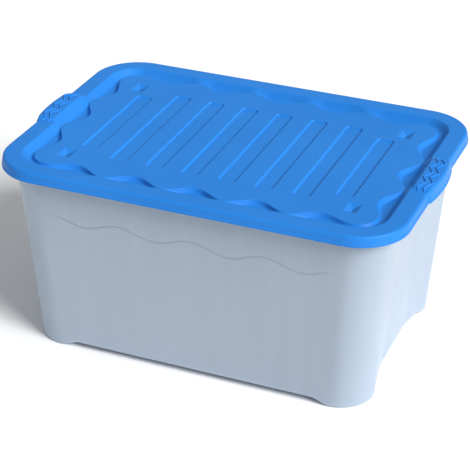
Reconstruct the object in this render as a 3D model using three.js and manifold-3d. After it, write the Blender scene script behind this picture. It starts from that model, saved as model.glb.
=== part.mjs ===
// Storage box with a press-on lid: an injection-moulded tub and an injection-moulded lid.
// Millimetres, +Z up, long side along X. The origin is on the ground under the middle of the box.

import * as THREE from 'three';
import Module from 'manifold-3d';

const wasm = await Module();
wasm.setup();

// ---------- driving dimensions ----------

// Lid, measured at the foot of its skirt and without the lift tabs
const lidLength = 584;
const lidWidth = 414;
const lidCornerRadius = 71;
const rimTopHeight = 289;          // ground to the flat top of the lid's rim
const lidWall = 2;
const skirtHeight = 15;
const skirtFlare = 2;              // the skirt leans out by this much over its height
const rimRound = 4;                // rounding between the rim's top and the skirt
const rimBand = 26;                // rim edge to the start of the inner slope
const slopeRun = 9;                // width of the inner slope
const panelDrop = 5;               // the raised panel lies this far below the rim

// Scoops: the waves along the panel's edge
const scoopDepth = 4.5;
const scoopReach = 19;             // how far a scoop reaches into the panel
const cornerScoopShare = 0.35;     // the corners have a shallower scoop
const scoopsPerLongSide = 5;
const scoopsPerShortSide = 3;
const scoopEdgeRun = 2;            // width of the step between the scoop's floor and the panel
const scoopFloorInset = 5;         // the slope runs on by this much inside a scoop

// Grooves and pits in the panel
const grooveCount = 8;
const grooveWidth = 25.4;
const grooveDepth = 2;
const grooveEdgeRun = 2;
const grooveFieldMargin = 41.5;    // panel's end to the outermost groove's pitch line
const grooveEndMargin = 55.5;      // panel's long side to the end of a groove
const outerGrooveShortening = 21;
const pitLength = 28;              // along Y
const pitWidth = 19;
const pitDepth = 4;
const pitMarginX = 47;             // panel's end to the pit's middle
const pitMarginY = 50;

// Lift tabs in the middle of the short sides
const tabHalfWidth = 50;
const tabEndRun = 3;               // the tab's end faces lean by this much
const tabRise = 4.5;
const tabBulge = 7.5;              // outward bulge in the middle of the tab
const tabBulgeAtEnd = 2.5;
const ribCount = 2;
const ribWidth = 2.4;
const ribHeight = 1;
const ribSpacing = 8;
const ribSwing = 3;                // half of the zigzag's width
const ribPeriod = 28;
const ribPeriods = 3;

// Tub
const tubWall = 2.2;
const endDraft = 0.072;            // lean of the short walls, per millimetre of height
const sideDraft = 0.061;           // lean of the long walls
const baseHeight = 8;              // ground to the underside of the base
const baseRound = 5;               // rounding between the walls and the base
const lidClearance = 0.4;          // tub flange to the lid's underside and skirt
const plugClearance = 4.6;         // tub wall to the lid's inner slope, which sits inside the tub
const flangeLip = 8;               // the flange's edge turns down by this much
const footWidth = 24;
const footLead = 26;               // length over which a foot comes down from the base

// Recess in the short walls: a floor between two slanted sides, which rise to the corners
const recessDepth = 12.3;
const recessHalfTop = 28;          // half width of the recess's floor, at its top
const recessHalfBottom = 58;       // and at the base
const crestTurn = 6;               // degrees round the corner to the crest of a slanted side
const recessStart = 24;            // rim top to the start of the recess
const recessFull = 52;             // rim top to where the recess is at its full depth

// Gussets under the flange, on the long walls
const gussetOffset = 74;           // skirt's end to the gusset's middle
const gussetWidth = 4;
const gussetReach = 9;
const gussetDrop = 24;             // flange's underside to the gusset's point

// Sampling of the curved outlines
const samplesPerScoop = 8;
const cornerSteps = 10;

// ---------- derived dimensions ----------

const rimA = lidLength / 2 - skirtFlare;      // half length at the rim's outer edge
const rimB = lidWidth / 2 - skirtFlare;
const rimR = lidCornerRadius - skirtFlare;
const slopeInset = rimBand + slopeRun;        // rim's outer edge to the panel
const panelA = rimA - slopeInset;
const panelB = rimB - slopeInset;
const panelR = rimR - slopeInset;
const panelTop = rimTopHeight - panelDrop;
const tubInset = rimBand - lidWall / 2 - plugClearance - tubWall;
const tubA = rimA - tubInset;                 // half length at the foot of the skirt
const tubB = rimB - tubInset;
const tubR = rimR - tubInset;                 // the tub's corners share their middles with the lid's
const skirtFoot = rimTopHeight - skirtHeight;
const flangeTop = rimTopHeight - lidWall - lidClearance;

// ---------- helpers ----------

// A station is one place along an outline: in the first quadrant it starts in the middle of
// the short side at +X, runs round the corner and ends in the middle of the long side at +Y.
// On a side, `share` says how far along the straight it lies; on the corner, `angle` does.

function mirrorQuarter(stations) {
  const turned = [...stations].reverse();
  const quarters = [
    { list: stations, sx: 1, sy: 1 },
    { list: turned, sx: -1, sy: 1 },
    { list: stations, sx: -1, sy: -1 },
    { list: turned, sx: 1, sy: -1 },
  ];
  // The last station of a quarter is the first one of the next.
  return quarters.flatMap(({ list, sx, sy }) => list.slice(0, -1).map((station) => ({ station, sx, sy })));
}

// Both pieces share the corner angles, so the flange's flats stay parallel to the skirt's.
function cornerAngles() {
  return Array.from({ length: cornerSteps - 1 }, (_, i) => ((i + 1) / cornerSteps) * (Math.PI / 2));
}

// Point of a rounded rectangle at a station, moved outwards by `out`.
function outlinePoint(station, a, b, r, out = 0) {
  if (station.kind === 'short') {
    return [a + out, station.share * (b - r)];
  }
  if (station.kind === 'long') {
    return [station.share * (a - r), b + out];
  }
  const reach = r + out;
  return [a - r + reach * Math.cos(station.angle), b - r + reach * Math.sin(station.angle)];
}

// Lofts a closed solid through loops of equal length; each end is closed by a fan.
function loftSolid(loops) {
  const count = loops[0].length;
  const positions = loops.flat(2);
  const indices = [];
  for (let ring = 0; ring < loops.length - 1; ring += 1) {
    for (let i = 0; i < count; i += 1) {
      const next = (i + 1) % count;
      const a = ring * count + i;
      const b = ring * count + next;
      indices.push(a, a + count, b);
      indices.push(b, a + count, b + count);
    }
  }
  const closeEnd = (ring, flip) => {
    const centre = positions.length / 3;
    positions.push(0, 0, loops[ring][0][2]);
    for (let i = 0; i < count; i += 1) {
      const a = ring * count + i;
      const b = ring * count + ((i + 1) % count);
      indices.push(centre, ...(flip ? [b, a] : [a, b]));
    }
  };
  closeEnd(0, false);
  closeEnd(loops.length - 1, true);
  return solidFrom(positions, indices);
}

function solidFrom(positions, indices) {
  return new wasm.Manifold(new wasm.Mesh({
    numProp: 3,
    vertProperties: new Float32Array(positions),
    triVerts: new Uint32Array(indices),
  }));
}

// A four-sided block that narrows downwards; with bottom sizes of 0 it ends in a ridge or a point.
function taperedBlock(x, y, top, bottom, zTop, zBottom) {
  const geometry = new THREE.BoxGeometry(1, 1, 1);
  geometry.deleteAttribute('normal');
  geometry.deleteAttribute('uv');
  const corners = new Map();
  const positions = [];
  const source = geometry.attributes.position;
  const order = [];
  for (let i = 0; i < source.count; i += 1) {
    const key = `${source.getX(i)},${source.getY(i)},${source.getZ(i)}`;
    if (!corners.has(key)) {
      const isTop = source.getZ(i) > 0;
      const size = isTop ? top : bottom;
      corners.set(key, positions.length / 3);
      positions.push(x + source.getX(i) * size[0], y + source.getY(i) * size[1], isTop ? zTop : zBottom);
    }
    order.push(corners.get(key));
  }
  return solidFrom(positions, Array.from(geometry.index.array, (i) => order[i]));
}

function extrudedSolid(shape, depth, place) {
  const geometry = new THREE.ExtrudeGeometry(shape, { depth, bevelEnabled: false });
  geometry.applyMatrix4(place);
  const corners = new Map();
  const positions = [];
  const indices = [];
  const source = geometry.attributes.position;
  for (let i = 0; i < source.count; i += 1) {
    const point = [source.getX(i), source.getY(i), source.getZ(i)];
    const key = point.map((value) => value.toFixed(4)).join();
    if (!corners.has(key)) {
      corners.set(key, positions.length / 3);
      positions.push(...point);
    }
    indices.push(corners.get(key));
  }
  return solidFrom(positions, indices);
}

function meshFrom(name, solid, material) {
  const { vertProperties, triVerts } = solid.getMesh();
  const geometry = new THREE.BufferGeometry();
  geometry.setAttribute('position', new THREE.BufferAttribute(new Float32Array(vertProperties), 3));
  geometry.setIndex(new THREE.BufferAttribute(new Uint32Array(triVerts), 1));
  geometry.computeVertexNormals();
  const mesh = new THREE.Mesh(geometry, material);
  mesh.name = name;
  return mesh;
}

// ---------- lid ----------

// Stations carry `dip`, from 0 between the scoops to 1 in the middle of a scoop.
function lidStations() {
  const dipOf = (phase) => 0.5 - 0.5 * Math.cos(2 * Math.PI * phase);
  const shortSpan = panelB - panelR;
  const shortPitch = (2 * shortSpan) / scoopsPerShortSide;
  const shortCount = (samplesPerScoop * scoopsPerShortSide) / 2;
  const ys = Array.from({ length: shortCount + 1 }, (_, i) => (i / shortCount) * shortSpan);
  const tabEdges = [tabHalfWidth, tabHalfWidth + tabEndRun];
  const spaced = ys.filter((y) => tabEdges.every((edge) => Math.abs(y - edge) > 1));
  const short = [...spaced, ...tabEdges].sort((p, q) => p - q).map((y) => ({
    kind: 'short',
    share: y / shortSpan,
    y,
    dip: dipOf((y + shortSpan) / shortPitch),
  }));
  const corner = cornerAngles().map((angle) => ({
    kind: 'corner',
    angle,
    dip: cornerScoopShare * dipOf(angle / (Math.PI / 2)),
  }));
  const longCount = (samplesPerScoop * scoopsPerLongSide) / 2;
  const long = Array.from({ length: longCount + 1 }, (_, i) => {
    const share = 1 - i / longCount;
    return { kind: 'long', share, dip: dipOf(((1 + share) / 2) * scoopsPerLongSide) };
  });
  return [...short, ...corner, ...long];
}

// The tab raises the rim by `rise` and pushes it outwards by `push`, inside the tab's width only.
function tabShift(station) {
  if (station.kind !== 'short' || station.y > tabHalfWidth) {
    return { rise: 0, push: 0 };
  }
  const share = station.y / tabHalfWidth;
  return { rise: tabRise, push: tabBulge - (tabBulge - tabBulgeAtEnd) * share * share };
}

// A loop of the lid, `inset` inside the rim's outer edge; its shape follows the dip of each station.
function lidLoop(stations, { inset, z, dipInset = 0, dipDrop = 0, riseShare = 0, pushShare = 0 }) {
  return mirrorQuarter(stations).map(({ station, sx, sy }) => {
    const tab = tabShift(station);
    const out = tab.push * pushShare - dipInset * station.dip;
    const [x, y] = outlinePoint(station, rimA - inset, rimB - inset, rimR - inset, out);
    return [sx * x, sy * y, z + tab.rise * riseShare - dipDrop * station.dip];
  });
}

function lidShell() {
  const stations = lidStations();
  const innerMargin = slopeInset + scoopReach + scoopEdgeRun;
  const slack = 0.6;               // keeps neighbouring loops apart where the scoops run out
  const half = lidWall / 2;
  const top = rimTopHeight;
  const loops = [
    { inset: innerMargin, z: panelTop },
    { inset: slopeInset + 2 * slack, z: panelTop, dipInset: scoopReach },
    {
      inset: slopeInset + slack,
      z: panelTop - slack / 4,
      dipInset: scoopReach - scoopEdgeRun,
      dipDrop: scoopDepth,
    },
    { inset: slopeInset, z: panelTop - slack / 2, dipInset: scoopFloorInset, dipDrop: scoopDepth },
    { inset: rimBand, z: top, riseShare: 1 },
    { inset: rimRound, z: top, riseShare: 1, pushShare: 0.6 },
    { inset: rimRound / 4, z: top - rimRound / 4, riseShare: 1, pushShare: 0.8 },
    { inset: -skirtFlare / 4, z: top - rimRound, riseShare: 0.5, pushShare: 0.9 },
    { inset: -skirtFlare, z: skirtFoot, pushShare: 1 },
    { inset: lidWall - skirtFlare, z: skirtFoot, pushShare: 1 },
    { inset: lidWall - skirtFlare / 4, z: top - rimRound, riseShare: 0.5, pushShare: 0.9 },
    { inset: rimRound, z: top - lidWall, riseShare: 1, pushShare: 0.6 },
    { inset: rimBand - half, z: top - lidWall, riseShare: 1 },
    {
      inset: slopeInset - half,
      z: panelTop - lidWall,
      dipInset: scoopFloorInset,
      dipDrop: scoopDepth,
    },
    {
      inset: slopeInset + slack,
      z: panelTop - lidWall - slack / 4,
      dipInset: scoopReach,
      dipDrop: scoopDepth,
    },
    { inset: innerMargin + half, z: panelTop - lidWall },
  ];
  return loftSolid(loops.map((loop) => lidLoop(stations, loop)));
}

function groovePlaces() {
  const pitch = (2 * (panelA - grooveFieldMargin)) / grooveCount;
  return Array.from({ length: grooveCount }, (_, i) => {
    const isOuter = i === 0 || i === grooveCount - 1;
    const halfLength = panelB - grooveEndMargin - (isOuter ? outerGrooveShortening : 0);
    return { x: (i - (grooveCount - 1) / 2) * pitch, length: 2 * halfLength };
  });
}

// A hollow pressed into the panel: its floor keeps the lid's wall, so it also stands out below.
function pressedHollow(lid, { x, y, width, length, depth, edgeRun }) {
  const floor = [width - 2 * edgeRun, length - 2 * edgeRun];
  const lift = 1;                  // the cut starts this far above the panel
  const liftRun = (edgeRun * lift) / depth;
  const mouth = [width + 2 * liftRun, length + 2 * liftRun];
  const under = panelTop - lidWall / 2;
  const tray = taperedBlock(x, y, [width, length], floor, under, panelTop - depth - lidWall);
  const cut = taperedBlock(x, y, mouth, floor, panelTop + lift, panelTop - depth);
  return lid.add(tray).subtract(cut);
}

function addGrooves(lid) {
  return groovePlaces().reduce((solid, { x, length }) => pressedHollow(solid, {
    x,
    y: 0,
    width: grooveWidth,
    length,
    depth: grooveDepth,
    edgeRun: grooveEdgeRun,
  }), lid);
}

function addPits(lid) {
  const pitFloor = 1;
  const places = [-1, 1].flatMap((sx) => [-1, 1].map((sy) => [sx, sy]));
  return places.reduce((solid, [sx, sy]) => pressedHollow(solid, {
    x: sx * (panelA - pitMarginX),
    y: sy * (panelB - pitMarginY),
    width: pitWidth,
    length: pitLength,
    depth: pitDepth,
    edgeRun: (pitWidth - pitFloor) / 2,
  }), lid);
}

// A zigzag rib along Y, as a flat outline.
function zigzagShape() {
  const steps = ribPeriods * 2;
  const middle = Array.from({ length: steps + 1 }, (_, i) => {
    const side = i % 2 === 0 ? -1 : 1;
    return [side * ribSwing, (i / steps - 0.5) * ribPeriods * ribPeriod];
  });
  const shape = new THREE.Shape();
  const lean = Math.atan((4 * ribSwing) / ribPeriod);
  const halfAcross = ribWidth / 2 / Math.cos(lean);
  const edge = (sign) => middle.map(([x, y]) => new THREE.Vector2(x + sign * halfAcross, y));
  shape.setFromPoints([...edge(1), ...edge(-1).reverse()]);
  return shape;
}

function addGripRibs(lid) {
  const root = 1;                  // the rib starts this far inside the tab
  const firstRib = rimA - rimBand + ribSwing + ribWidth;
  const height = rimTopHeight + tabRise - root;
  let solid = lid;
  for (const side of [-1, 1]) {
    for (let i = 0; i < ribCount; i += 1) {
      const x = side * (firstRib + i * ribSpacing);
      const place = new THREE.Matrix4().makeTranslation(x, 0, height);
      solid = solid.add(extrudedSolid(zigzagShape(), root + ribHeight, place));
    }
  }
  return solid;
}

function makeLid() {
  const blue = new THREE.MeshStandardMaterial({ color: 0x2f7fe0, roughness: 0.38, metalness: 0 });
  return meshFrom('lid', addGripRibs(addPits(addGrooves(lidShell()))), blue);
}

// ---------- tub ----------

// `foot` is 1 where a foot stands and 0 along the free edge of the base;
// `recess` says which line of the end recess the station lies on.
function tubStations() {
  const short = [
    { kind: 'short', recess: 'middle', foot: 0 },
    { kind: 'short', recess: 'floor', foot: 0 },
    { kind: 'short', recess: 'crest', foot: 1 },
  ];
  const corner = cornerAngles().map((angle) => ({ kind: 'corner', angle, foot: 1 }));
  const long = [
    { kind: 'long', share: 1, foot: 1 },
    { kind: 'long', lead: footLead, foot: 0 },
    { kind: 'long', share: 0, foot: 0 },
  ];
  return [...short, ...corner, ...long];
}

// Size of the tub's wall outside at a height above the ground.
function tubSection(z) {
  const down = skirtFoot - z;
  return { a: tubA - down * endDraft, b: tubB - down * sideDraft, r: tubR };
}

// The recess in the short walls grows from nothing below the rim to its full depth.
function recessAt(z) {
  const start = rimTopHeight - recessStart;
  const full = rimTopHeight - recessFull;
  const grown = THREE.MathUtils.clamp((start - z) / (start - full), 0, 1);
  const along = THREE.MathUtils.clamp((full - z) / (full - baseHeight), 0, 1);
  return {
    depth: recessDepth * grown,
    floor: THREE.MathUtils.lerp(recessHalfTop, recessHalfBottom, along),
  };
}

// A loop of the tub's wall: `inset` from the outside, `footDrop` below z where the feet are.
function tubLoop(stations, z, { inset = 0, footDrop = 0, sectionZ = z } = {}) {
  const { a, b, r } = tubSection(sectionZ);
  const recess = recessAt(sectionZ);
  const crest = { kind: 'corner', angle: THREE.MathUtils.degToRad(crestTurn) };
  const places = {
    middle: [a - inset - recess.depth, 0],
    floor: [a - inset - recess.depth, recess.floor],
    crest: outlinePoint(crest, a - inset, b - inset, r - inset),
  };
  return mirrorQuarter(stations).map(({ station, sx, sy }) => {
    const [x, y] = places[station.recess]
      ?? outlinePoint(withLead(station, a - r), a - inset, b - inset, r - inset);
    return [sx * x, sy * y, z - footDrop * station.foot];
  });
}

// A station given by its distance from the corner, `lead`, gets its share of the straight.
function withLead(station, straight) {
  return station.lead === undefined ? station : { ...station, share: 1 - station.lead / straight };
}

// A loop of the flange, `inset` from its outer face, which clears the lid's skirt.
function flangeLoop(stations, z, inset) {
  const gap = lidWall + lidClearance - skirtFlare / 4 + inset;
  const a = rimA - gap;
  const b = rimB - gap;
  const r = rimR - gap;
  const places = {
    middle: [a, 0],
    floor: [a, recessHalfTop],
    crest: [a, b - r],
  };
  return mirrorQuarter(stations).map(({ station, sx, sy }) => {
    const [x, y] = places[station.recess] ?? outlinePoint(withLead(station, a - r), a, b, r);
    return [sx * x, sy * y, z];
  });
}

function tubShell() {
  const stations = tubStations();
  const floorTop = baseHeight + tubWall;
  const recessTop = rimTopHeight - recessStart;
  const recessEnd = rimTopHeight - recessFull;
  const flangeUnder = flangeTop - tubWall;
  const lipFoot = flangeTop - flangeLip;
  const atBase = { sectionZ: baseHeight };
  const flangeRoundFoot = flangeTop - rimRound * 0.6;
  const inner = tubWall;
  const loops = [
    tubLoop(stations, floorTop, { ...atBase, inset: baseRound + footWidth + inner }),
    tubLoop(stations, floorTop, { ...atBase, inset: baseRound + footWidth, footDrop: baseHeight }),
    tubLoop(stations, floorTop, { ...atBase, inset: baseRound, footDrop: baseHeight }),
    tubLoop(stations, floorTop + baseRound, { inset: inner, footDrop: baseHeight }),
    tubLoop(stations, recessEnd, { inset: inner }),
    tubLoop(stations, recessTop, { inset: inner }),
    tubLoop(stations, flangeTop, { inset: inner }),
    flangeLoop(stations, flangeTop, rimRound),
    flangeLoop(stations, flangeRoundFoot, 0),
    flangeLoop(stations, lipFoot, 0),
    flangeLoop(stations, lipFoot, tubWall),
    flangeLoop(stations, flangeUnder, tubWall),
    tubLoop(stations, flangeUnder),
    tubLoop(stations, recessTop),
    tubLoop(stations, recessEnd),
    tubLoop(stations, baseHeight + baseRound, { footDrop: baseHeight }),
    tubLoop(stations, baseHeight + baseRound / 4, { ...atBase, inset: baseRound / 4, footDrop: baseHeight }),
    tubLoop(stations, baseHeight, { ...atBase, inset: baseRound, footDrop: baseHeight }),
    tubLoop(stations, baseHeight, { ...atBase, inset: footWidth, footDrop: baseHeight }),
    tubLoop(stations, baseHeight, { ...atBase, inset: footWidth + baseRound }),
  ];
  return loftSolid(loops);
}

// A triangular gusset between the long wall and the flange, standing in the YZ plane.
function gussetShape(wallY) {
  const root = tubWall / 2;
  const shape = new THREE.Shape();
  shape.setFromPoints([
    new THREE.Vector2(wallY - root - gussetDrop * sideDraft, -gussetDrop),
    new THREE.Vector2(wallY - root, root),
    new THREE.Vector2(wallY + gussetReach, root),
    new THREE.Vector2(wallY + gussetReach, 0),
  ]);
  return shape;
}

function addGussets(tub) {
  const z = flangeTop - tubWall;
  const shape = gussetShape(tubSection(z).b);
  let solid = tub;
  for (const side of [-1, 1]) {
    for (const end of [-1, 1]) {
      const x = end * (lidLength / 2 - gussetOffset) - (side * gussetWidth) / 2;
      // The shape's own axes turn to Y and Z, and its depth to X.
      const place = new THREE.Matrix4().makeBasis(
        new THREE.Vector3(0, side, 0),
        new THREE.Vector3(0, 0, 1),
        new THREE.Vector3(side, 0, 0),
      ).setPosition(x, 0, z);
      solid = solid.add(extrudedSolid(shape, gussetWidth, place));
    }
  }
  return solid;
}

function makeTub() {
  const frosted = new THREE.MeshStandardMaterial({ color: 0xc2d0e4, roughness: 0.45, metalness: 0 });
  return meshFrom('tub', addGussets(tubShell()), frosted);
}

// ---------- box ----------

const box = new THREE.Group();
box.add(makeTub(), makeLid());

export default box;
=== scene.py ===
"""Looks of a storage box with a press-on lid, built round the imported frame.

Sizes are in millimetres and are turned into metres where a mesh is made.
"""

import math

import bmesh
import bpy
import numpy as np
from mathutils import Matrix, Vector
from mathutils.geometry import delaunay_2d_cdt


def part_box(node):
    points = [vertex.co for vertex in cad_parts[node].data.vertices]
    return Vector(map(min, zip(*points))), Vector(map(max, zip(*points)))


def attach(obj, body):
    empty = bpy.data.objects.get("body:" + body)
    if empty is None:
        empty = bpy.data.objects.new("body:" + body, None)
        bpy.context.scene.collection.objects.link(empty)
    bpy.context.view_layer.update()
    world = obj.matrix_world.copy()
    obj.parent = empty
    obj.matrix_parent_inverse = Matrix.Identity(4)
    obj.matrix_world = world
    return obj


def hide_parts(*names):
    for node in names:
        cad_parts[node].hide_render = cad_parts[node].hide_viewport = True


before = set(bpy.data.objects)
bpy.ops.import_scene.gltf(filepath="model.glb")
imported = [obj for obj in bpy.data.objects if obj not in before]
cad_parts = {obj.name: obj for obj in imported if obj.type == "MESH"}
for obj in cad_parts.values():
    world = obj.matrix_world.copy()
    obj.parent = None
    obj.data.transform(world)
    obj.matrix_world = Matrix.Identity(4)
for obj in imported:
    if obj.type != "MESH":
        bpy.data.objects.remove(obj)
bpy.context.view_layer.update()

MM = 0.001
lid_low, lid_high = (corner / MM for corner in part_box("lid"))
tub_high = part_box("tub")[1] / MM

# ---------- driving sizes of the lid ----------

WALL = 2.0
SKIRT_FLARE = 2.0           # how far the foot of the skirt stands out past the rim's outer edge
TAB_BULGE = 7.5             # how far a tab's edge stands out past that, at its middle
TAB_RISE = 3.9
RIB_HEIGHT = 1.6
RIM_RADIUS = 69.0
RIM_A = lid_high.x - TAB_BULGE - SKIRT_FLARE        # half length of the rim's outer edge
RIM_B = lid_high.y - SKIRT_FLARE                    # half its width
RIM_TOP = lid_high.z - TAB_RISE - RIB_HEIGHT
SKIRT_FOOT = lid_low.z
LIP_HEIGHT = 3.4            # the thicker lip along the foot of the skirt
LIP_FOOT_WIDTH = 0.9
LIP_STEP_RISE = 0.5
LIP_STEP_FLARE = 0.55       # share of the flare left above the lip's step
EDGE_FLARE = 0.1            # share of the flare left at the rim's outer edge
UNDER_EDGE_FLARE = 0.25     # and on the underside of it
EDGE_PUSH = 0.9             # share of a tab's bulge left at the rim's outer edge
BAND = 26.0                 # rim's outer edge to the start of the inner slope
SLOPE_RUN = 9.0
PANEL_DROP = 5.0
PANEL_TOP = RIM_TOP - PANEL_DROP
SCOOP_DEPTH = 6.6
SCOOP_REACH = 19.0          # how far a full scoop runs into the panel
SCOOP_WALL_RUN = 3.4        # added width of the scoop's wall at its deepest
SCOOP_FLOOR_INSET = 0.5     # how far a full scoop moves the foot of the slope inwards
SCOOP_START = 0.85          # share of the depth at the foot of the slope; the floor falls from there
SCOOP_WALL_START = 0.8      # foot of the slope to the floor's far edge where a scoop runs out
SCOOP_WALL_END = 2.0        # foot of the slope to the panel where a scoop runs out
CORNER_DIP = 0.32           # share of a full scoop that runs on round the corners
SCOOPS_LONG = 5
SCOOPS_SHORT = 3
PANEL_FLAT_INSET = 58.0     # from here inwards the panel is flat
LID_ROUNDINGS = [0.6, 0.4, 0.5, 4.4, 1.5, 1.5, 2.5, 2.5, 0.6]   # outside, from the lip's foot to the panel
LID_UNDER_ROUNDINGS = [3.0, 2.0, 2.0, 3.0, 2.0, 1.0]            # underside, in the same order

GROOVES = 8
GROOVE_PITCH = 53.4
GROOVE_WIDTH = 25.4
GROOVE_HALF_LENGTH = 114.5
OUTER_GROOVE_HALF_LENGTH = 93.5
GROOVE_DEPTH = 2.4
GROOVE_RUN = 1.9
GROOVE_RADIUS = 5.0
HOLLOW_MARGIN = 1.0         # panel round a hollow that belongs to its own rows
HOLLOW_ROUNDING = 0.8
HOLLOW_FLOOR_EDGE = 0.5     # floor beside the foot of a hollow's wall
HOLLOW_RADIUS_LOSS = 0.9    # how fast the corner radius shrinks as the wall goes inwards
HOLLOW_LEAST_RADIUS = 0.25
PIT_X, PIT_Y = 208.0, 120.0
PIT_WIDTH, PIT_LENGTH, PIT_DEPTH = 19.0, 28.0, 4.0
PIT_RADIUS = 1.5
PIT_FLOOR_HALF = 0.6        # half the width of a pit's floor

TAB_HALF = 50.0
TAB_END_RUN = 3.0           # length over which the bulge ends beside the tab
TAB_FLAT = 22.0             # rim's outer edge to where the tab's top starts to fall to the rim band
TAB_RAMP = 16.0             # length over which the tab's top sinks back to the rim
TAB_BULGE_AT_END = 2.5
RIBS_PER_TAB = 2
RIB_SPACING = 9.2
RIB_WIDTH = 2.7
RIB_SWING = 3.8
RIB_PERIOD = 30.4
RIB_PERIODS = 3.4
RIB_ROOT = 0.5              # how deep a rib sinks into its tab
RIB_SHARPNESS = 0.96        # 1 would give pointed turns
RIB_LEAST_END = 0.02        # square of the size share left at a rib's very end
FIRST_RIB = 13.5            # rim's outer edge to the middle of the inner rib

# ---------- driving sizes of the tub ----------

TUB_WALL = 2.2
TUB_INSET = 18.2            # rim's outer edge to the wall at the foot of the skirt
TUB_RADIUS = RIM_RADIUS - TUB_INSET
END_DRAFT = 0.072
SIDE_DRAFT = 0.061
FOOT_HEIGHT = 8.0
FOOT_WIDTH = 24.0
FOOT_LEAD = 26.0            # length over which a foot's edge rises to the raised base
BASE_ROUND = 5.0
FOOT_EDGE = 1.5             # rounding where a foot meets the raised base
INNER_ROWS = (40.0, 80.0, 120.0, 160.0, 200.0)
OUTER_ROWS = (150.0, 120.0, 90.0, 60.0, 40.0)
FLANGE_GAP = 1.9            # rim's outer edge to the flange's
FLANGE_LIP = 8.0            # height of the flange's turned-down lip
FLANGE_START = 8.0          # flange's outer edge to where its own rows begin
FLANGE_ROUNDINGS = [3.0, 0.7, 0.7, 0.7]
FLANGE_FILLET = 0.8         # under the flange, where it meets the wall
INNER_EDGE = ((1.2, 0.0), (0.3, 0.4), (0.0, 1.3))   # rows round the top of the wall's inside: down, out
FLANGE_TOP = tub_high.z
RECESS_DEPTH = 12.3
RECESS_HALF_TOP = 28.0
RECESS_HALF_BOTTOM = 58.0
RECESS_START = RIM_TOP - 24.0
RECESS_FULL = RIM_TOP - 52.0
FOLD_ROUNDINGS = [7.0, 2.5]         # of the recess: floor to side, side to corner
CREST_TURN = math.radians(6.0)      # how far round the corner the recess's side meets it
AFTER_CREST_TURN = 2.4 * CREST_TURN # how far round the plain corner begins
WAVE_HEIGHT = RIM_TOP - 75.0
WAVE_SWING = 6.5
WAVE_LENGTH = 106.0
WAVE_CREST_X = 3.0
WAVE_FADE = (192.0, 214.0)  # distances from the middle between which the wave dies out
WAVE_DEPTH = 1.0
WAVE_HALF_WIDTH = 2.2
WAVE_FOLLOW = (8.0, 34.0)   # heights off the wave at which rows follow it in full, and not at all
WAVE_CLEAR = 3.0            # from the wave to the next rows above and below
WAVE_LAST_ROW = 36.0        # from the wave to the lowest row that can follow it
GUSSET_X = 218.0
GUSSET_WIDTH = 6.0
GUSSET_REACH = 9.0
GUSSET_DROP = 24.0
GUSSET_TIP = 0.8            # thickness and half width of its lower end
GUSSET_ROOT = 1.0           # how deep it sits in the wall
GUSSET_BEVEL = 0.6

# ---------- mesh density ----------

SHORT_STATIONS, TAB_END_STATIONS, CORNER_STATIONS, LONG_STATIONS = 34, 11, 25, 61
DENSE_MARGIN, EVEN_MARGIN = 2.0, 3.0    # dense stations go this far past a tab's ends; even ones keep off
RIB_STATIONS, RIB_ARCH_POINTS = 121, 9
FOLD_STEPS = 5
SIDE_STATIONS, TUB_CORNER_STATIONS, TUB_LONG_STATIONS = 14, 15, 56
INNER_RECESS_ROWS, OUTER_RECESS_ROWS, ABOVE_WAVE_ROWS, WAVE_ROWS, BELOW_WAVE_ROWS = 8, 12, 5, 9, 8
LONGEST_ROUNDING = 0.46     # share of a side that rounding may take at each end
MERGE_DISTANCE = 0.002
SHORTEST_EDGE = 0.001


# ---------- mesh tools ----------

def smoothstep(value, low, high):
    share = np.clip((np.asarray(value, float) - low) / (high - low), 0.0, 1.0)
    return share * share * (3.0 - 2.0 * share)


def soften(corners, setbacks, steps):
    """Rounds the inner corners of a polyline, whose corners are arrays (..., 2).

    A rounding starts and ends its setback away from the corner.
    """
    points = [corners[0]]
    for before, corner, after, setback in zip(corners, corners[1:], corners[2:], setbacks):
        to_before, to_after = before - corner, after - corner
        length_before = np.linalg.norm(to_before, axis=-1, keepdims=True)
        length_after = np.linalg.norm(to_after, axis=-1, keepdims=True)
        start = corner + to_before * np.minimum(setback / length_before, LONGEST_ROUNDING)
        end = corner + to_after * np.minimum(setback / length_after, LONGEST_ROUNDING)
        for t in np.linspace(0.0, 1.0, steps + 1):
            points.append((1 - t) ** 2 * start + 2 * t * (1 - t) * corner + t * t * end)
    points.append(corners[-1])
    return points


def repeat_round(values):
    """Repeats a first-quadrant row of values, from +X to +Y, round a full loop."""
    turned = values[::-1]
    return np.concatenate([values[:-1], turned[:-1], values[:-1], turned[:-1]])


def around(quadrant):
    """Closes a first-quadrant row of points into a full loop by mirroring."""
    quadrant = np.asarray(quadrant, float)
    count = len(quadrant) - 1
    signs = np.repeat([(1, 1), (-1, 1), (-1, -1), (1, -1)], count, axis=0)
    return repeat_round(quadrant) * signs


def rounded_rectangle(a, b, radius, corner_steps=6):
    """Outline of a rounded rectangle with straight sides."""
    angles = np.linspace(0.0, math.pi / 2, corner_steps + 1)
    corner = [(a - radius + radius * math.cos(t), b - radius + radius * math.sin(t)) for t in angles]
    return around([(a, 0.0), *corner, (0.0, b)])


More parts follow.
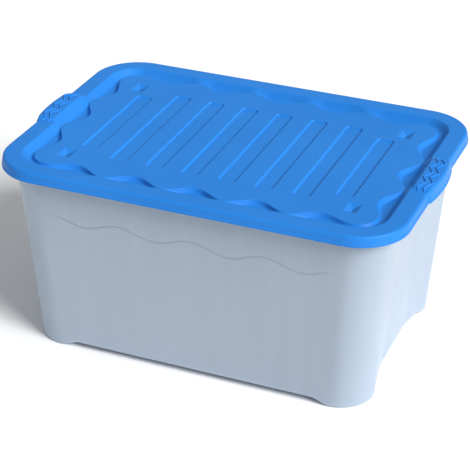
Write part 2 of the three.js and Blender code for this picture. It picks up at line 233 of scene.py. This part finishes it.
class Shell:
    """Collects faces, and vertices in millimetres, and becomes one mesh object."""

    def __init__(self):
        self.vertices = []
        self.faces = []

    def add(self, points):
        first = len(self.vertices)
        self.vertices.extend(tuple(float(v) for v in p) for p in points)
        return list(range(first, len(self.vertices)))

    def ring(self, outline, z):
        heights = np.broadcast_to(z, (len(outline),))
        return self.add(np.column_stack([outline, heights]))

    def bridge(self, first, second, flip=False):
        count = len(first)
        for i in range(count):
            j = (i + 1) % count
            face = (first[i], first[j], second[j], second[i])
            self.faces.append(face[::-1] if flip else face)

    def cap(self, ring, flip=False):
        self.faces.append(tuple(ring[::-1] if flip else ring))

    def fill(self, outline, holes, z, flip=False):
        """A flat sheet inside an outline, with convex holes."""
        loops = [outline, *holes]
        points = [Vector(p) for loop in loops for p in loop]
        owner = [number for number, loop in enumerate(loops) for _ in loop]
        edges = []
        first = 0
        for loop in loops:
            count = len(loop)
            edges += [(first + i, first + (i + 1) % count) for i in range(count)]
            first += count
        inside_constraints = 1
        flat, _, triangles, sources, _, _ = delaunay_2d_cdt(points, edges, [], inside_constraints, 1e-6)
        index = self.add([(p.x, p.y, z) for p in flat])
        for triangle in triangles:
            owners = {owner[sources[i][0]] for i in triangle}
            in_hole = len(owners) == 1 and 0 not in owners
            if not in_hole:
                face = tuple(index[i] for i in triangle)
                self.faces.append(face[::-1] if flip else face)

    def build(self, name):
        mesh = bpy.data.meshes.new(name)
        mesh.from_pydata([tuple(v * MM for v in p) for p in self.vertices], [], self.faces)
        work = bmesh.new()
        work.from_mesh(mesh)
        bmesh.ops.remove_doubles(work, verts=work.verts, dist=MERGE_DISTANCE * MM)
        bmesh.ops.dissolve_degenerate(work, edges=work.edges, dist=SHORTEST_EDGE * MM)
        bmesh.ops.recalc_face_normals(work, faces=work.faces)
        work.to_mesh(mesh)
        work.free()
        mesh.shade_smooth()
        piece = bpy.data.objects.new(name, mesh)
        bpy.context.scene.collection.objects.link(piece)
        weighted = piece.modifiers.new("weighted", "WEIGHTED_NORMAL")
        weighted.mode = "FACE_AREA"
        weighted.weight = 60
        return piece


# ---------- lid ----------

def lid_quadrant():
    """Places along a quadrant of the rim: inner-rectangle point, outward normal, share of a full scoop."""
    span_a, span_b = RIM_A - RIM_RADIUS, RIM_B - RIM_RADIUS

    def dip(along, span, count):
        phase = (along + span) * count / (2 * span)
        floor = CORNER_DIP if phase > count - 0.5 else 0.0
        return floor + (1.0 - floor) * (0.5 - 0.5 * math.cos(2 * math.pi * phase))

    tab_end = TAB_HALF + TAB_END_RUN
    even = np.linspace(0.0, span_b, SHORT_STATIONS)
    even = even[(even < TAB_HALF - EVEN_MARGIN) | (even > tab_end + EVEN_MARGIN)]
    dense = np.linspace(TAB_HALF - DENSE_MARGIN, tab_end + DENSE_MARGIN, TAB_END_STATIONS)
    ys = np.sort(np.concatenate([even, dense]))
    short = [((span_a, y), (1.0, 0.0), dip(y, span_b, SCOOPS_SHORT)) for y in ys]
    angles = np.linspace(0.0, math.pi / 2, CORNER_STATIONS)[1:-1]
    corner = [((span_a, span_b), (math.cos(t), math.sin(t)), CORNER_DIP) for t in angles]
    xs = np.linspace(span_a, 0.0, LONG_STATIONS)
    long = [((x, span_b), (0.0, 1.0), dip(x, span_a, SCOOPS_LONG)) for x in xs]
    stations = short + corner + long
    return (np.array([s[i] for s in stations]) for i in range(3))


def tab_rise(y):
    """Height of the lift tab's top over the rim, by distance along the short side."""
    end = TAB_HALF + TAB_END_RUN
    return TAB_RISE * (1.0 - smoothstep(np.abs(y), end - TAB_RAMP, end))


def tab_shape(base, normal):
    """How far the lift tab raises the rim and pushes it out at each place."""
    on_end = normal[:, 0] == 1.0
    y = base[:, 1]
    window = 1.0 - smoothstep(y, TAB_HALF, TAB_HALF + TAB_END_RUN)
    share = np.minimum(y / TAB_HALF, 1.0)
    push = TAB_BULGE - (TAB_BULGE - TAB_BULGE_AT_END) * share ** 2
    return tab_rise(y) * on_end, push * window * on_end


def lid_profile(dip, rise, push, under):
    """Rounded cross-section of one side of the lid, as insets from the rim and heights over it."""
    foot = SKIRT_FOOT - RIM_TOP
    zero = np.zeros_like(dip)
    lip_top = foot + LIP_HEIGHT
    panel = zero - PANEL_DROP
    depth = SCOOP_DEPTH * (1.0 - (1.0 - dip) ** 3)
    start, scoop = panel - SCOOP_START * depth, panel - depth
    slope_end = BAND + SLOPE_RUN

    def place(inset, height):
        return np.stack([inset + zero, height + zero], axis=-1)

    if under:
        half = WALL / 2
        corners = [
            place(WALL - SKIRT_FLARE - push, foot),
            place(WALL - SKIRT_FLARE * UNDER_EDGE_FLARE - EDGE_PUSH * push, rise - WALL),
            place(TAB_FLAT, rise - WALL),
            place(BAND - half, -WALL),
            place(slope_end - half + SCOOP_FLOOR_INSET * dip, start - WALL),
            place(slope_end + WALL + (SCOOP_REACH - SCOOP_WALL_RUN) * dip, scoop - WALL),
            place(slope_end + 2 * WALL + (SCOOP_REACH - half) * dip, panel - WALL),
            place(PANEL_FLAT_INSET, panel - WALL),
        ]
        return soften(corners, LID_UNDER_ROUNDINGS, steps=3)
    corners = [
        place(-SKIRT_FLARE + LIP_FOOT_WIDTH - push, foot),
        place(-SKIRT_FLARE - push, foot),
        place(-SKIRT_FLARE - push, lip_top),
        place(-SKIRT_FLARE * LIP_STEP_FLARE - push, lip_top + LIP_STEP_RISE),
        place(-SKIRT_FLARE * EDGE_FLARE - EDGE_PUSH * push, rise),
        place(TAB_FLAT, rise),
        place(BAND, 0.0),
        place(slope_end + SCOOP_FLOOR_INSET * dip, start),
        place(slope_end + SCOOP_WALL_START + (SCOOP_REACH - SCOOP_WALL_RUN) * dip, scoop),
        place(slope_end + SCOOP_WALL_END + SCOOP_REACH * dip, panel),
        place(PANEL_FLAT_INSET, panel),
    ]
    return soften(corners, LID_ROUNDINGS, steps=5)


def hollows():
    """Grooves and pits of the panel: middle, half width, half length, depth, wall run and corner radius."""
    places = []
    for i in range(GROOVES):
        half = OUTER_GROOVE_HALF_LENGTH if i in (0, GROOVES - 1) else GROOVE_HALF_LENGTH
        x = (i - (GROOVES - 1) / 2) * GROOVE_PITCH
        places.append((x, 0.0, GROOVE_WIDTH / 2, half, GROOVE_DEPTH, GROOVE_RUN, GROOVE_RADIUS))
    pit_run = PIT_WIDTH / 2 - PIT_FLOOR_HALF
    for x in (-PIT_X, PIT_X):
        for y in (-PIT_Y, PIT_Y):
            places.append((x, y, PIT_WIDTH / 2, PIT_LENGTH / 2, PIT_DEPTH, pit_run, PIT_RADIUS))
    return places


def press_hollow(shell, place, level, under):
    """Adds a hollow's walls and floor; returns the outline of the hole that it leaves in the panel."""
    x, y, half_width, half_length, depth, run, radius = place
    grow = WALL / 2 if under else 0.0
    corners = [
        np.array([-HOLLOW_MARGIN - grow, 0.0]),
        np.array([-grow, 0.0]),
        np.array([run - grow, -depth]),
        np.array([run - grow + HOLLOW_FLOOR_EDGE, -depth]),
    ]
    rings = []
    outlines = []
    for inset, height in soften(corners, [HOLLOW_ROUNDING, HOLLOW_ROUNDING], steps=3):
        corner = max(radius - inset * HOLLOW_RADIUS_LOSS, HOLLOW_LEAST_RADIUS)
        outline = rounded_rectangle(half_width - inset, half_length - inset, corner) + (x, y)
        outlines.append(outline)
        rings.append(shell.ring(outline, level + height))
    for first, second in zip(rings, rings[1:]):
        shell.bridge(first, second, flip=under)
    shell.cap(rings[-1], flip=under)
    return outlines[0]


def lid_skin(shell, under):
    """Adds the outside or the underside of the lid; returns the loop along the foot of the skirt."""
    base, normal, dip = lid_quadrant()
    rise, push = tab_shape(base, normal)
    rings = []
    for row in lid_profile(dip, rise, push, under):
        inset, height = row[:, 0], row[:, 1]
        outline = around(base + normal * (RIM_RADIUS - inset)[:, None])
        rings.append(shell.ring(outline, RIM_TOP + repeat_round(height)))
    for first, second in zip(rings, rings[1:]):
        shell.bridge(first, second, flip=under)
    level = PANEL_TOP - (WALL if under else 0.0)
    holes = [press_hollow(shell, place, level, under) for place in hollows()]
    shell.fill(outline, holes, level, flip=under)
    return rings[0]


def make_lid():
    shell = Shell()
    outside_foot = lid_skin(shell, under=False)
    inside_foot = lid_skin(shell, under=True)
    shell.bridge(inside_foot, outside_foot)
    return shell.build("lid_shell")


def zigzag(y):
    """Sideways swing of a grip rib, a triangle wave with rounded tips."""
    wave = np.arcsin(RIB_SHARPNESS * np.cos(2 * math.pi * y / RIB_PERIOD))
    return RIB_SWING * wave / math.asin(RIB_SHARPNESS)


def make_grip_rib(name, x, side):
    """A rounded rib that runs along Y on top of a lift tab and sinks into it at both ends."""
    shell = Shell()
    half = RIB_PERIOD * RIB_PERIODS / 2
    ys = np.linspace(-half, half, RIB_STATIONS)
    points = np.column_stack([x + side * zigzag(ys), ys])
    tangents = np.gradient(points, axis=0)
    tangents /= np.linalg.norm(tangents, axis=1)[:, None]
    angles = np.linspace(0.0, math.pi, RIB_ARCH_POINTS)
    rings = []
    for point, tangent, y in zip(points, tangents, ys):
        across = np.array([tangent[1], -tangent[0]])
        past_round = max(abs(y) - half + RIB_WIDTH, 0.0)
        size = math.sqrt(max(1.0 - past_round ** 2 / RIB_WIDTH ** 2, RIB_LEAST_END))
        reach = across * RIB_WIDTH / 2 * size
        top = [(*(point + reach * math.cos(t)), math.sin(t) * RIB_HEIGHT * size) for t in angles]
        bottom = [(*(point - reach), -RIB_ROOT), (*(point + reach), -RIB_ROOT)]
        level = RIM_TOP + float(tab_rise(y))
        rings.append(shell.add([(px, py, level + pz) for px, py, pz in top + bottom]))
    for first, second in zip(rings, rings[1:]):
        shell.bridge(first, second)
    shell.cap(rings[0])
    shell.cap(rings[-1], flip=True)
    return shell.build(name)


def make_grip_ribs():
    first = RIM_A - FIRST_RIB
    ribs = []
    for side, end in ((-1, "left"), (1, "right")):
        for i in range(RIBS_PER_TAB):
            x = side * (first + i * RIB_SPACING)
            ribs.append(make_grip_rib(f"grip_rib_{end}_{i + 1}", x, side))
    return ribs


# ---------- tub ----------

def wall_size(z):
    """Half length, half width and corner radius of the wall's outside at a height."""
    down = SKIRT_FOOT - z
    return RIM_A - TUB_INSET - down * END_DRAFT, RIM_B - TUB_INSET - down * SIDE_DRAFT, TUB_RADIUS


def recess_at(z):
    """Depth and floor half width of the recess in the short walls at a height."""
    depth = RECESS_DEPTH * float(smoothstep(-z, -RECESS_START, -RECESS_FULL))
    along = min(max((RECESS_FULL - z) / (RECESS_FULL - FOOT_HEIGHT), 0.0), 1.0)
    return depth, RECESS_HALF_TOP + (RECESS_HALF_BOTTOM - RECESS_HALF_TOP) * along


def tub_quadrant(a, b, r, depth, floor, inset):
    """First-quadrant row: floor, fold, side and crest of the recess, then the corner and the long wall."""
    a, b, r = a - inset, b - inset, r - inset

    def arc(angle):
        return np.array([a - r + r * math.cos(angle), b - r + r * math.sin(angle)])

    middle = np.array([a - depth, 0.0])
    end = [middle, np.array([a - depth, floor]), arc(CREST_TURN), arc(AFTER_CREST_TURN)]
    bend = soften(end, FOLD_ROUNDINGS, steps=FOLD_STEPS)
    fold, crest = bend[1:FOLD_STEPS + 2], bend[FOLD_STEPS + 2:]
    side = [fold[-1] + (crest[0] - fold[-1]) * t for t in np.linspace(0.0, 1.0, SIDE_STATIONS)[1:-1]]
    corner = [arc(t) for t in np.linspace(AFTER_CREST_TURN, math.pi / 2, TUB_CORNER_STATIONS)[1:]]
    long = [np.array([x, b]) for x in np.linspace(a - r, 0.0, TUB_LONG_STATIONS)[1:]]
    return np.array([middle, *fold, *side, *crest, *corner, *long])


def foot_share():
    """1 where a foot stands, falling to 0 along the free edge of the base."""
    a, b, r = wall_size(FOOT_HEIGHT)
    points = tub_quadrant(a, b, r, *recess_at(FOOT_HEIGHT), 0.0)
    along = smoothstep(points[:, 0], a - r - FOOT_LEAD, a - r)
    across = smoothstep(points[:, 1], b - r - FOOT_LEAD, b - r)
    return repeat_round(along * across)


def wave_line(outline):
    """Height offset and strength of the engraved wave at each place of a wall loop."""
    x, y = outline[:, 0], outline[:, 1]
    turned = np.where(y < 0, x, -x)
    window = (1.0 - smoothstep(np.abs(x), *WAVE_FADE)) * (np.abs(y) > RIM_B / 2)
    return WAVE_SWING * np.cos(2 * math.pi * (turned - WAVE_CREST_X) / WAVE_LENGTH) * window, window


class TubShell(Shell):
    """A shell whose loops follow the tub's walls, feet, wave and flange."""

    def __init__(self):
        super().__init__()
        self.foot = foot_share()

    def wall_ring(self, z, inset=0.0, drop=0.0, section=None):
        """A loop of the wall, with the size it has at height `section` and feet that go down by `drop`."""
        level = z if section is None else section
        outline = around(tub_quadrant(*wall_size(level), *recess_at(level), inset))
        return self.ring(outline, z - drop * self.foot)

    def waved_ring(self, z):
        """A loop of the outside wall near the engraved wave, which its rows follow."""
        outline = around(tub_quadrant(*wall_size(z), *recess_at(z), 0.0))
        offset = z - WAVE_HEIGHT
        follow = 1.0 - smoothstep(abs(offset), *WAVE_FOLLOW)
        lift, window = wave_line(outline)
        lift = lift * follow
        cut = 0.0
        if abs(offset) < WAVE_HALF_WIDTH:
            cut = WAVE_DEPTH * math.cos(math.pi / 2 * offset / WAVE_HALF_WIDTH) ** 2
        outline[:, 1] += np.sign(outline[:, 1]) * (lift * SIDE_DRAFT - cut * window)
        return self.ring(outline, z + lift)

    def flange_ring(self, z, inset):
        """A loop of the flange, set in from its outer edge."""
        a, b, r = RIM_A - FLANGE_GAP, RIM_B - FLANGE_GAP, RIM_RADIUS - FLANGE_GAP
        return self.ring(around(tub_quadrant(a, b, r, 0.0, RECESS_HALF_TOP, inset)), z)


def inner_rings(shell):
    """Loops from the middle of the floor, down into the feet and up the inside of the wall."""
    floor = FOOT_HEIGHT + TUB_WALL
    base = FOOT_HEIGHT
    rings = [shell.wall_ring(floor, FOOT_WIDTH + BASE_ROUND + TUB_WALL, section=base)]
    corners = [
        np.array([FOOT_WIDTH + BASE_ROUND, floor]),
        np.array([TUB_WALL, floor]),
        np.array([TUB_WALL, floor + 3 * BASE_ROUND]),
    ]
    for inset, z in soften(corners, [BASE_ROUND], steps=5):
        rings.append(shell.wall_ring(z, inset, drop=FOOT_HEIGHT, section=max(z, base)))
    heights = [*INNER_ROWS, *np.linspace(RECESS_FULL, RECESS_START, INNER_RECESS_ROWS)]
    rings += [shell.wall_ring(z, TUB_WALL) for z in heights]
    return rings


def flange_rings(shell):
    """Loops over the top of the wall, out along the flange and round its turned-down lip."""
    lip = FLANGE_TOP - FLANGE_LIP
    under = FLANGE_TOP - TUB_WALL
    rings = [shell.wall_ring(FLANGE_TOP - down, TUB_WALL - out) for down, out in INNER_EDGE]
    corners = [
        np.array([FLANGE_START, FLANGE_TOP]),
        np.array([0.0, FLANGE_TOP]),
        np.array([0.0, lip]),
        np.array([TUB_WALL, lip]),
        np.array([TUB_WALL, under]),
        np.array([FLANGE_START, under]),
    ]
    for inset, z in soften(corners, FLANGE_ROUNDINGS, steps=4):
        rings.append(shell.flange_ring(z, inset))
    return rings


def outer_rings(shell):
    """Loops down the outside of the wall, under the feet and in to the middle of the base."""
    under = FLANGE_TOP - TUB_WALL
    base = FOOT_HEIGHT
    rings = [
        shell.wall_ring(under, -FLANGE_FILLET),
        shell.wall_ring(under - FLANGE_FILLET),
        shell.wall_ring(SKIRT_FOOT),
    ]
    groove = WAVE_HEIGHT + np.linspace(-WAVE_HALF_WIDTH, WAVE_HALF_WIDTH, WAVE_ROWS)
    heights = [
        *np.linspace(RECESS_START, RECESS_FULL, OUTER_RECESS_ROWS),
        *np.linspace(RECESS_FULL, WAVE_HEIGHT + WAVE_CLEAR, ABOVE_WAVE_ROWS)[1:],
        *groove[::-1],
        *np.linspace(WAVE_HEIGHT - WAVE_CLEAR, WAVE_HEIGHT - WAVE_LAST_ROW, BELOW_WAVE_ROWS),
    ]
    rings += [shell.waved_ring(z) for z in heights]
    rings += [shell.wall_ring(z) for z in OUTER_ROWS]
    corners = [
        np.array([0.0, base + 4 * BASE_ROUND]),
        np.array([0.0, base]),
        np.array([FOOT_WIDTH, base]),
        np.array([FOOT_WIDTH + BASE_ROUND, base]),
    ]
    for inset, z in soften(corners, [BASE_ROUND, FOOT_EDGE], steps=5)[:-1]:
        rings.append(shell.wall_ring(z, inset, drop=FOOT_HEIGHT, section=max(z, base)))
    rings.append(shell.wall_ring(base, FOOT_WIDTH + BASE_ROUND, section=base))
    return rings


def make_tub():
    shell = TubShell()
    rings = inner_rings(shell) + flange_rings(shell) + outer_rings(shell)
    for first, second in zip(rings, rings[1:]):
        shell.bridge(first, second)
    shell.cap(rings[0])
    shell.cap(rings[-1], flip=True)
    return shell.build("tub_shell")


def make_gusset(name, x, side):
    """A small wedge between the long wall and the flange."""
    top = FLANGE_TOP - TUB_WALL
    tip = top - GUSSET_DROP
    wall_top, wall_tip = wall_size(top)[1], wall_size(tip)[1]
    shell = Shell()
    rings = []
    for half, wall, reach, z in (
        (GUSSET_WIDTH / 2, wall_top, GUSSET_REACH, top),
        (GUSSET_TIP, wall_tip, GUSSET_TIP, tip),
    ):
        root, face = wall - GUSSET_ROOT, wall + reach
        points = [(-half, root), (half, root), (half, face), (-half, face)]
        rings.append(shell.add([(x + px, side * py, z) for px, py in points]))
    shell.bridge(rings[0], rings[1])
    shell.cap(rings[0])
    shell.cap(rings[1], flip=True)
    gusset = shell.build(name)
    bevel = gusset.modifiers.new("bevel", "BEVEL")
    bevel.width = GUSSET_BEVEL * MM
    bevel.segments = 3
    return gusset


def make_gussets():
    gussets = []
    for side, face in ((-1, "front"), (1, "back")):
        for end, hand in ((-1, "left"), (1, "right")):
            gussets.append(make_gusset(f"gusset_{face}_{hand}", end * GUSSET_X, side))
    return gussets


# ---------- materials ----------

def new_material(name):
    material = bpy.data.materials.new(name)
    material.use_nodes = True
    tree = material.node_tree
    return material, tree, tree.nodes["Principled BSDF"]


def add_node(tree, kind, **inputs):
    node = tree.nodes.new(kind)
    for key, value in inputs.items():
        node.inputs[key.replace("_", " ")].default_value = value
    return node


def object_coordinates(tree, scale):
    """Object coordinates, stretched by `scale` along each axis."""
    place = tree.nodes.new("ShaderNodeTexCoord")
    mapping = tree.nodes.new("ShaderNodeMapping")
    mapping.inputs["Scale"].default_value = scale
    tree.links.new(place.outputs["Object"], mapping.inputs["Vector"])
    return mapping.outputs["Vector"]


def noise(tree, vector, scale, detail=3.0):
    node = add_node(tree, "ShaderNodeTexNoise", Scale=scale, Detail=detail)
    tree.links.new(vector, node.inputs["Vector"])
    return node.outputs["Fac"]


def ramp(tree, factor, low, high, low_color, high_color):
    node = tree.nodes.new("ShaderNodeValToRGB")
    node.color_ramp.elements[0].position = low
    node.color_ramp.elements[0].color = (*low_color, 1.0)
    node.color_ramp.elements[1].position = high
    node.color_ramp.elements[1].color = (*high_color, 1.0)
    tree.links.new(factor, node.inputs["Fac"])
    return node.outputs["Color"]


def map_range(tree, factor, low, high):
    node = add_node(tree, "ShaderNodeMapRange", To_Min=low, To_Max=high)
    tree.links.new(factor, node.inputs["Value"])
    return node.outputs["Result"]


def bump(tree, height, distance, strength):
    node = add_node(tree, "ShaderNodeBump", Distance=distance, Strength=strength)
    tree.links.new(height, node.inputs["Height"])
    return node.outputs["Normal"]


def lid_plastic():
    """Satin blue polypropylene: a fine moulded grain and a faint unevenness of colour and gloss."""
    material, tree, shader = new_material("lid_plastic")
    everywhere = object_coordinates(tree, (1.0, 1.0, 1.0))
    cloud = noise(tree, everywhere, scale=9.0)
    deep_blue, light_blue = (0.018, 0.190, 0.600), (0.021, 0.204, 0.630)
    color = ramp(tree, cloud, low=0.3, high=0.7, low_color=deep_blue, high_color=light_blue)
    tree.links.new(color, shader.inputs["Base Color"])
    gloss = map_range(tree, noise(tree, everywhere, scale=60.0), low=0.38, high=0.48)
    tree.links.new(gloss, shader.inputs["Roughness"])
    grain = noise(tree, everywhere, scale=900.0, detail=2.0)
    tree.links.new(bump(tree, grain, distance=0.00004, strength=0.5), shader.inputs["Normal"])
    shader.inputs["Specular IOR Level"].default_value = 0.14
    return material


def tub_plastic():
    """Frosted polypropylene: milky, with light scattered below the surface and faint upright streaks."""
    material, tree, shader = new_material("tub_plastic")
    upright = object_coordinates(tree, (60.0, 60.0, 1.5))
    streaks = noise(tree, upright, scale=1.0, detail=4.0)
    deep_haze, light_haze = (0.352, 0.428, 0.548), (0.364, 0.442, 0.566)
    color = ramp(tree, streaks, low=0.35, high=0.65, low_color=deep_haze, high_color=light_haze)
    tree.links.new(color, shader.inputs["Base Color"])
    everywhere = object_coordinates(tree, (1.0, 1.0, 1.0))
    gloss = map_range(tree, noise(tree, everywhere, scale=40.0), low=0.36, high=0.50)
    tree.links.new(gloss, shader.inputs["Roughness"])
    grain = noise(tree, everywhere, scale=700.0, detail=2.0)
    tree.links.new(bump(tree, grain, distance=0.00005, strength=0.5), shader.inputs["Normal"])
    shader.inputs["Subsurface Weight"].default_value = 0.6
    shader.inputs["Subsurface Scale"].default_value = 0.012
    shader.inputs["Subsurface Radius"].default_value = (1.0, 1.1, 1.3)
    return material


def floor_paint():
    material, tree, shader = new_material("floor_paint")
    shader.inputs["Base Color"].default_value = (0.92, 0.92, 0.92, 1.0)
    shader.inputs["Roughness"].default_value = 0.9
    shader.inputs["Specular IOR Level"].default_value = 0.1
    return material


# ---------- stage ----------

def make_floor():
    mesh = bpy.data.meshes.new("floor")
    reach = 40.0
    corners = [(-reach, -reach, 0), (reach, -reach, 0), (reach, reach, 0), (-reach, reach, 0)]
    mesh.from_pydata(corners, [], [(0, 1, 2, 3)])
    floor = bpy.data.objects.new("floor", mesh)
    bpy.context.scene.collection.objects.link(floor)
    floor.data.materials.append(floor_paint())


def make_sun(name, toward, strength, spread):
    """A soft distant light from the direction `toward`, `spread` degrees wide."""
    light = bpy.data.lights.new(name, "SUN")
    light.energy = strength
    light.angle = math.radians(spread)
    lamp = bpy.data.objects.new(name, light)
    lamp.rotation_euler = Vector(toward).to_track_quat("Z", "Y").to_euler()
    bpy.context.scene.collection.objects.link(lamp)


def make_lights():
    make_sun("key", toward=(0.745, -0.26, 0.60), strength=4.15, spread=32.0)
    world = bpy.data.worlds.new("studio")
    bpy.context.scene.world = world
    world.use_nodes = True
    background = world.node_tree.nodes["Background"]
    background.inputs["Color"].default_value = (0.96, 0.98, 1.0, 1.0)
    background.inputs["Strength"].default_value = 0.39


def make_camera():
    """The photograph's view, with colours shown as they are."""
    yaw, elevation, roll = math.radians(21.82), math.radians(28.94), math.radians(0.57)
    distance, aside, above = 2.300, 0.0056, 0.1330
    focal_length, sensor = 125.84, 36.0
    back = Vector((
        math.sin(yaw) * math.cos(elevation),
        -math.cos(yaw) * math.cos(elevation),
        math.sin(elevation),
    ))
    level = Vector((math.cos(yaw), math.sin(yaw), 0.0))
    upright = back.cross(level)
    right = level * math.cos(roll) + upright * math.sin(roll)
    up = upright * math.cos(roll) - level * math.sin(roll)
    target = Vector((0.0, 0.0, RIM_TOP * MM))
    matrix = Matrix((right, up, back)).transposed().to_4x4()
    matrix.translation = target + back * distance - right * aside - up * above
    data = bpy.data.cameras.new("camera")
    data.lens = focal_length
    data.sensor_width = sensor
    camera = bpy.data.objects.new("camera", data)
    camera.matrix_world = matrix
    bpy.context.scene.collection.objects.link(camera)
    bpy.context.scene.camera = camera
    bpy.context.scene.view_settings.view_transform = "Standard"


def place_pieces():
    blue, frosted = lid_plastic(), tub_plastic()
    for pieces, body, slot, material in (
        ([make_lid(), *make_grip_ribs()], "lid", "lid_plastic", blue),
        ([make_tub(), *make_gussets()], "tub", "tub_plastic", frosted),
    ):
        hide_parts(body)
        for piece in pieces:
            piece.data.materials.append(material)
            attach(piece, body)


make_camera()
place_pieces()
make_floor()
make_lights()
